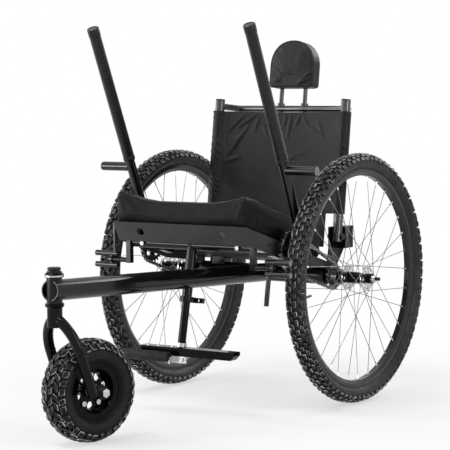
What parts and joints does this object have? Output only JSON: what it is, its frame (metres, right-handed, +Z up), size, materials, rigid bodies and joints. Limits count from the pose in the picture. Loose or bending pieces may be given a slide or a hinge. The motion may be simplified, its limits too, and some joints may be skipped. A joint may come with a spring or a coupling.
{
  "type": "all terrain wheelchair",
  "caption": "Lever-driven all-terrain wheelchair with spoked rear wheels, a trailing caster on a long front boom, a padded seat and a folding backrest with headrest.",
  "frame": {"origin": "on the ground, at the middle of the bounding box", "axes": "+Z up, -Y the way the chair drives, +X towards the user's left"},
  "size_m": [0.7166, 1.253, 0.9912],
  "materials": {
    "gloss_black": "gloss black powder coat",
    "satin_black": "satin black powder coat",
    "pan_grey": "satin dark grey powder coat on sheet steel",
    "anodised": "dark anodised",
    "steel": "bright zinc-plated",
    "chain_steel": "oiled steel",
    "black_plastic": "fine matt",
    "tyre": "matt knobbly rubber",
    "grip_rubber": "fine-textured foam rubber",
    "nylon": "woven black nylon"
  },
  "bodies": {
    "frame": {"main_boom": "gloss_black", "head_tube": "gloss_black", "headset_cups": "anodised", "axle_tube": "gloss_black", "seat_post": "gloss_black", "post_clamp": "satin_black", "seat_crossbar": "gloss_black", "seat_mounts": "gloss_black", "seat_pan": "pan_grey", "pan_bolts": "steel", "seat_cushion": "nylon", "lever_shaft": "steel", "shaft_blocks": "satin_black", "shaft_nuts": "steel", "brake_brackets": "satin_black", "back_brackets": "satin_black", "left_chain": "chain_steel", "right_chain": "chain_steel", "wheel_axles": "steel"},
    "backrest": {"back_canes": "satin_black", "cane_caps": "black_plastic", "back_bar": "satin_black", "back_sling": "nylon", "hinge_bolts": "satin_black"},
    "headrest": {"headrest_rods": "satin_black", "headrest_pad": "nylon"},
    "caster": {"caster_fork": "gloss_black", "steerer_cap": "black_plastic", "caster_axle": "steel"},
    "caster_wheel": {"caster_tyre": "tyre", "caster_rim": "anodised", "caster_bolts": "steel"},
    "footrest": {"foot_post": "satin_black", "foot_beam": "gloss_black", "foot_roll": "grip_rubber", "foot_collar": "steel", "roll_bracket": "steel"},
    "clamp_lever": {"clamp_lever": "satin_black"},
    "left_wheel": {"left_tyre": "tyre", "left_rim": "anodised", "left_spokes": "steel", "left_hub": "anodised"},
    "left_lever": {"left_lever": "satin_black", "left_grip": "grip_rubber", "left_socket": "satin_black", "left_chainring": "satin_black"},
    "left_cog": {"left_cog": "steel"},
    "left_brake": {"left_brake": "satin_black"},
    "left_button": {"left_button": "black_plastic"},
    "right_wheel": {"right_tyre": "tyre", "right_rim": "anodised", "right_spokes": "steel", "right_hub": "anodised"},
    "right_lever": {"right_lever": "satin_black", "right_grip": "grip_rubber", "right_socket": "satin_black", "right_chainring": "satin_black"},
    "right_cog": {"right_cog": "steel"},
    "right_brake": {"right_brake": "satin_black"},
    "right_button": {"right_button": "black_plastic"}
  },
  "joints": [
    {"name": "left_wheel_spin", "type": "hinge", "parent": "frame", "child": "left_wheel", "pos_m": [0.292, 0.29848, 0.328], "axis": [1, 0, 0], "continuous": true},
    {"name": "left_lever_stroke", "type": "hinge", "parent": "frame", "child": "left_lever", "pos_m": [0.24, 0.08676, 0.41268], "axis": [1, 0, 0], "range_deg": [-26, 32], "deforming": ["left_chain"]},
    {"name": "left_cog_turn", "type": "hinge", "parent": "frame", "child": "left_cog", "pos_m": [0.218, 0.29848, 0.328], "axis": [1, 0, 0], "range_deg": [-39, 48]},
    {"name": "left_brake_turn", "type": "hinge", "parent": "frame", "child": "left_brake", "pos_m": [0.252, -0.04814, 0.382], "axis": [1, 0, 0], "range_deg": [-90, 0]},
    {"name": "left_button_press", "type": "slide", "parent": "frame", "child": "left_button", "axis": [-1, 0, 0], "range_m": [0, 0.005], "stiffness_N_per_m": 200},
    {"name": "right_wheel_spin", "type": "hinge", "parent": "frame", "child": "right_wheel", "pos_m": [-0.292, 0.29848, 0.328], "axis": [1, 0, 0], "continuous": true},
    {"name": "right_lever_stroke", "type": "hinge", "parent": "frame", "child": "right_lever", "pos_m": [-0.24, 0.08676, 0.41268], "axis": [1, 0, 0], "range_deg": [-26, 32], "deforming": ["right_chain"]},
    {"name": "right_cog_turn", "type": "hinge", "parent": "frame", "child": "right_cog", "pos_m": [-0.218, 0.29848, 0.328], "axis": [1, 0, 0], "range_deg": [-39, 48]},
    {"name": "right_brake_turn", "type": "hinge", "parent": "frame", "child": "right_brake", "pos_m": [-0.252, -0.04814, 0.382], "axis": [1, 0, 0], "range_deg": [0, 90]},
    {"name": "right_button_press", "type": "slide", "parent": "frame", "child": "right_button", "axis": [1, 0, 0], "range_m": [0, 0.005], "stiffness_N_per_m": 200},
    {"name": "caster_swivel", "type": "hinge", "parent": "frame", "child": "caster", "pos_m": [0, -0.59552, 0.369], "axis": [0, 0, 1], "continuous": true},
    {"name": "caster_spin", "type": "hinge", "parent": "caster", "child": "caster_wheel", "pos_m": [0.02241, -0.50217, 0.124], "axis": [0.9724, -0.2334, 0], "continuous": true},
    {"name": "back_fold", "type": "hinge", "parent": "frame", "child": "backrest", "pos_m": [0, 0.34448, 0.43], "axis": [1, 0, 0], "range_deg": [0, 55]},
    {"name": "headrest_height", "type": "slide", "parent": "backrest", "child": "headrest", "axis": [0, 0.1392, 0.9903], "range_m": [-0.04, 0.06]},
    {"name": "foot_height", "type": "slide", "parent": "frame", "child": "footrest", "axis": [0, 0.2079, 0.9781], "range_m": [-0.03, 0.055]},
    {"name": "clamp_swing", "type": "hinge", "parent": "frame", "child": "clamp_lever", "pos_m": [0.017, -0.04208, 0.28719], "axis": [0, 0.2079, 0.9781], "range_deg": [0, 90]}
  ],
  "couplings": [
    {"joint": "left_cog_turn", "follows": "left_lever_stroke", "ratio": 1.5},
    {"joint": "right_cog_turn", "follows": "right_lever_stroke", "ratio": 1.5}
  ]
}
